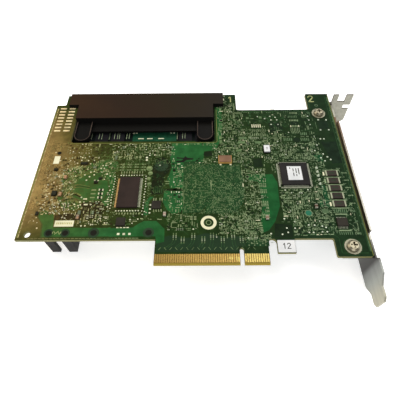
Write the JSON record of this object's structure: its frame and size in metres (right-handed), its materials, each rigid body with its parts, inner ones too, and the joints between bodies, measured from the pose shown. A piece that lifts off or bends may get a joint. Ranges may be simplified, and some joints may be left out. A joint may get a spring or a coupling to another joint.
{
  "type": "raid controller card",
  "caption": "Storage controller card with an edge connector, folded metal bracket, memory module in a bay and shielded cable ports.",
  "frame": {"origin": "centre of the footprint, on the surface that the card lies on", "axes": "+X towards the bracket, +Y from the edge connector towards the cable ports, +Z out of the solder face"},
  "size_m": [0.1744, 0.1268, 0.0216],
  "materials": {
    "board": "semi-gloss solder mask over copper",
    "gold": "gold plated",
    "steel": "bright zinc plate",
    "screw_steel": "nickel plate",
    "module_board": "semi-gloss solder mask",
    "chip_black": "fine matt moulding",
    "socket_black": "moulded",
    "handle_plastic": "satin moulded",
    "clip_plastic": "satin moulded",
    "tinned": "tin plate",
    "sticker": "matt",
    "ceramic_dark": "fired ceramic",
    "lid_bronze": "toned metal lid",
    "resistor_black": "coated ceramic",
    "capacitor_tan": "fired ceramic",
    "pad_grey": "soft",
    "aluminium": "mill finish",
    "cage_steel": "nickel plate",
    "choke_grey": "pressed ferrite",
    "plug_white": "moulded nylon"
  },
  "bodies": {
    "root": {"alarm_buzzer": "socket_black", "backup_switch": "plug_white", "battery_plug": "plug_white", "battery_plug_pins": "tinned", "bracket": "steel", "bracket_screws": "screw_steel", "capacitor_bases": "socket_black", "capacitor_cans": "aluminium", "chip_capacitor_ends": "tinned", "chip_capacitors": "capacitor_tan", "circuit_board": "board", "driver_chip": "chip_black", "driver_leads": "tinned", "edge_clip": "clip_plastic", "edge_contacts": "gold", "flash_chip": "chip_black", "flash_leads": "tinned", "flat_packages": "chip_black", "header_pins": "gold", "header_strip": "socket_black", "heatsink": "aluminium", "hook_label": "sticker", "logic_chip": "chip_black", "logic_leads": "tinned", "logic_sticker": "sticker", "memory_board": "module_board", "memory_chips": "chip_black", "memory_socket": "socket_black", "module_handle": "handle_plastic", "oscillator": "ceramic_dark", "oscillator_lid": "lid_bronze", "port_cage_1": "cage_steel", "port_cage_2": "cage_steel", "port_inserts": "socket_black", "power_chokes": "choke_grey", "power_transistor_leads": "tinned", "power_transistors": "chip_black", "processor": "chip_black", "screw_washers": "screw_steel", "sense_resistor_ends": "tinned", "sense_resistors": "resistor_black", "switch_base": "socket_black", "thermal_pad": "pad_grey"}
  },
  "joints": []
}
